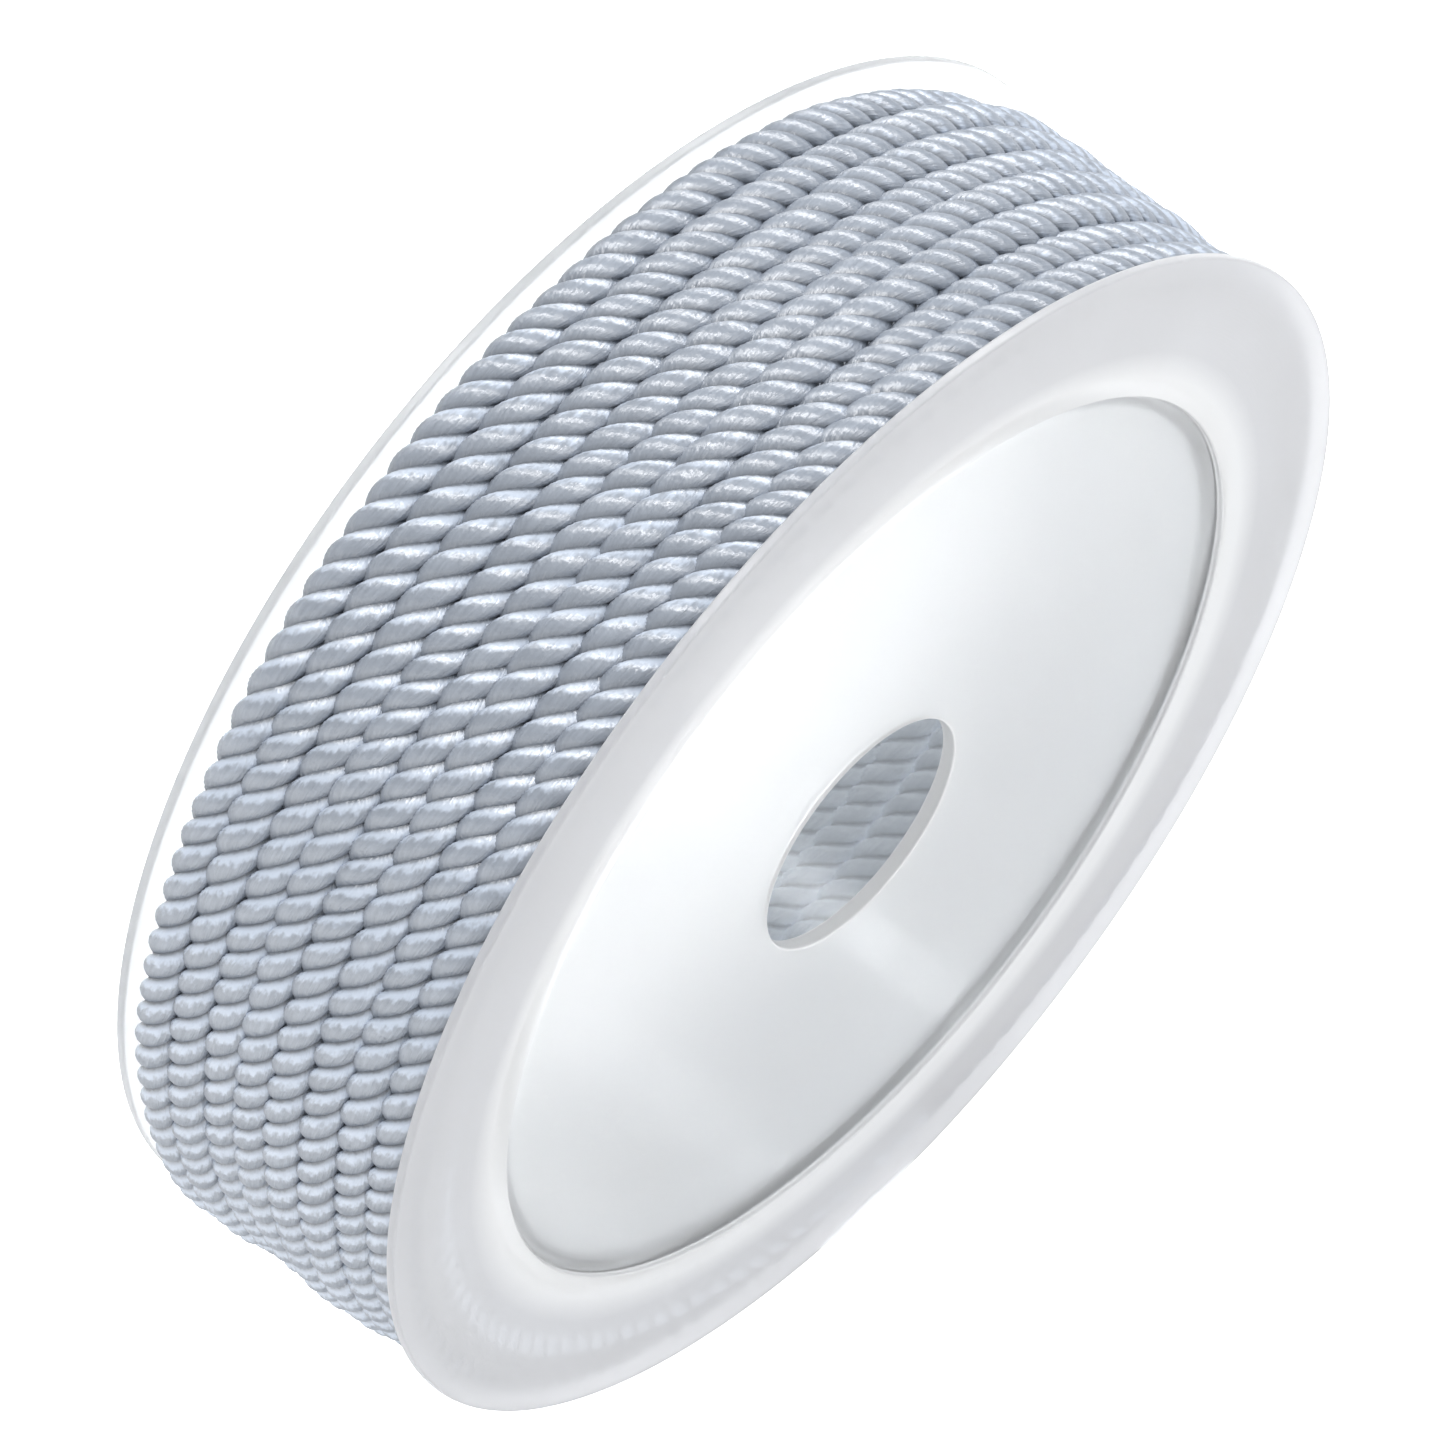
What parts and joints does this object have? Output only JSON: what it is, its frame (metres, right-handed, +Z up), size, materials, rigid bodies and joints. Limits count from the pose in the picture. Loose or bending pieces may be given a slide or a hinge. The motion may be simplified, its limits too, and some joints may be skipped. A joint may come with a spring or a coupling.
{
  "type": "twisted nylon cord on a spool",
  "caption": "Twisted silver-blue nylon cord wound in layers on a clear frosted spool with two thin flanges and a round centre hole.",
  "frame": {"origin": "on the surface under the middle of the standing spool", "axes": "+Y along the spool's axis from the front flange to the back flange, +Z up, +X to the right seen from the front flange"},
  "size_m": [0.066, 0.0178, 0.0658],
  "materials": {
    "spool_plastic": "clear frosted moulded plastic",
    "cord_nylon": "satin twisted nylon yarn"
  },
  "bodies": {
    "root": {"spool_front_half": "spool_plastic", "spool_back_half": "spool_plastic", "cord_winding": "cord_nylon"}
  },
  "joints": []
}
